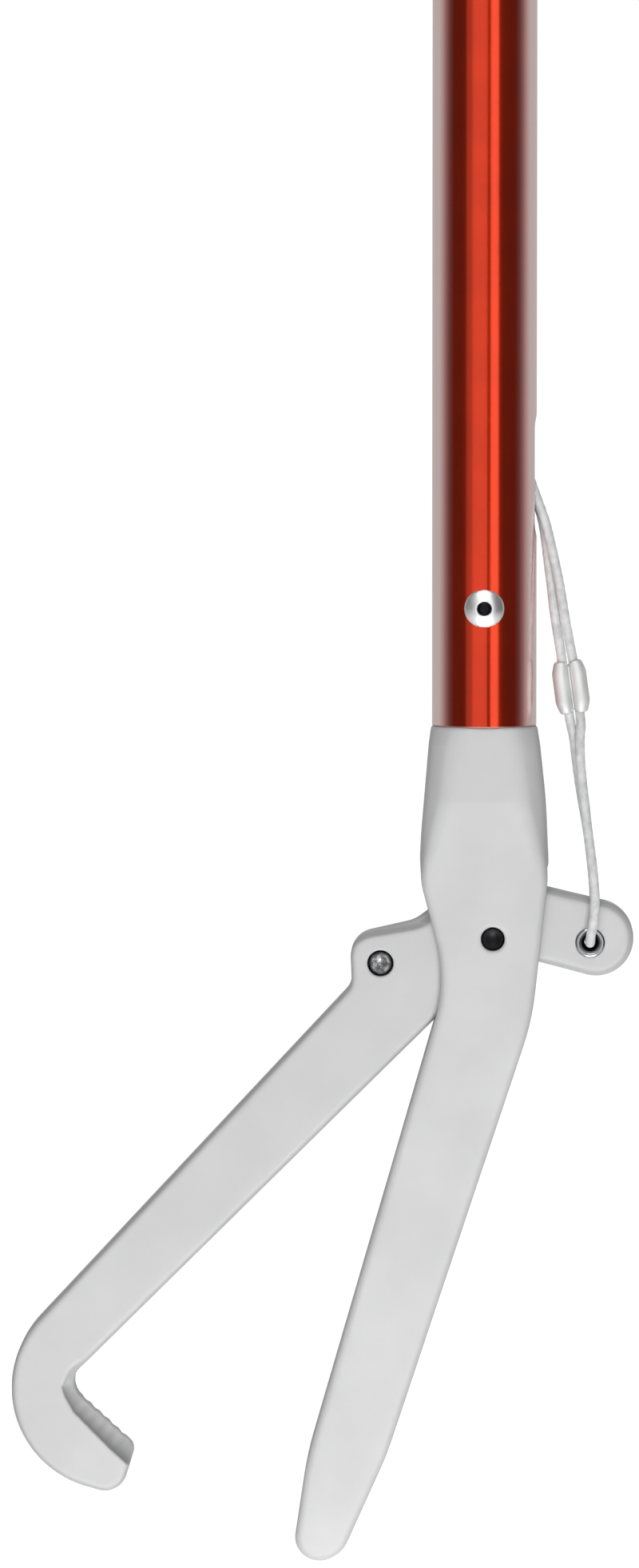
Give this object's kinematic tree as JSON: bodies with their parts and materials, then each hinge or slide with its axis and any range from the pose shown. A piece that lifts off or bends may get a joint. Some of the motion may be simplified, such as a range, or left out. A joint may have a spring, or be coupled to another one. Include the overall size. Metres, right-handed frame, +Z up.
{
  "type": "reacher grabber",
  "caption": "Cord-pulled reaching tool: a hooked jaw closes on a fixed jaw at the end of a tube when the trigger of a pistol grip is squeezed.",
  "frame": {"origin": "centre of the hanging hole at the top of the handle, on the middle plane", "axes": "+Z up along the tube away from the jaws, +X to the side where the cord leaves the tube, Y across the thickness"},
  "size_m": [0.1346, 0.03, 0.6684],
  "materials": {
    "red_anodised": "red anodised, glossy",
    "grey_plastic": "light grey moulded, satin",
    "dark_steel": "blackened",
    "spring_wire": "bright drawn",
    "magnet": "plated, dull",
    "bright_metal": "bright",
    "nylon_cord": "braided nylon",
    "bush_plastic": "natural acetal"
  },
  "bodies": {
    "frame": {"shaft_tube": "red_anodised", "fixed_jaw": "grey_plastic", "jaw_pivot_pin": "dark_steel", "jaw_return_spring": "spring_wire", "jaw_rivet_front": "bright_metal", "jaw_rivet_back": "bright_metal", "rivet_mandrel_front": "dark_steel", "rivet_mandrel_back": "dark_steel", "handle_shell_front": "grey_plastic", "handle_shell_back": "grey_plastic", "handle_screws": "dark_steel", "trigger_pivot_pin": "spring_wire"},
    "trigger_lever": {"trigger": "grey_plastic", "trigger_bush": "bush_plastic"},
    "jaw": {"moving_jaw": "grey_plastic", "lug_magnet": "magnet", "cord_eyelet": "bright_metal"},
    "cord": {"pull_cord": "nylon_cord", "cord_ferrule": "bright_metal", "cord_stop": "bright_metal"}
  },
  "joints": [
    {"name": "trigger_pull", "type": "hinge", "parent": "frame", "child": "trigger_lever", "pos_m": [0.0068, 0, -0.052], "axis": [0, 1, 0], "range_deg": [0, 24]},
    {"name": "jaw_close", "type": "hinge", "parent": "frame", "child": "jaw", "pos_m": [0.00135, 0, -0.5574], "axis": [0, -1, 0], "range_deg": [0, 16], "stiffness_Nm_per_rad": 0.05, "springref_deg": -34.38, "deforming": ["jaw_return_spring"]},
    {"name": "cord_slide", "type": "slide", "parent": "frame", "child": "cord", "axis": [-0.0925, 0, 0.9957], "range_m": [0, 0.0042]}
  ],
  "couplings": [
    {"joint": "jaw_close", "follows": "trigger_pull", "ratio": 0.66667},
    {"joint": "cord_slide", "follows": "trigger_pull", "m_per_rad": 0.009912}
  ]
}
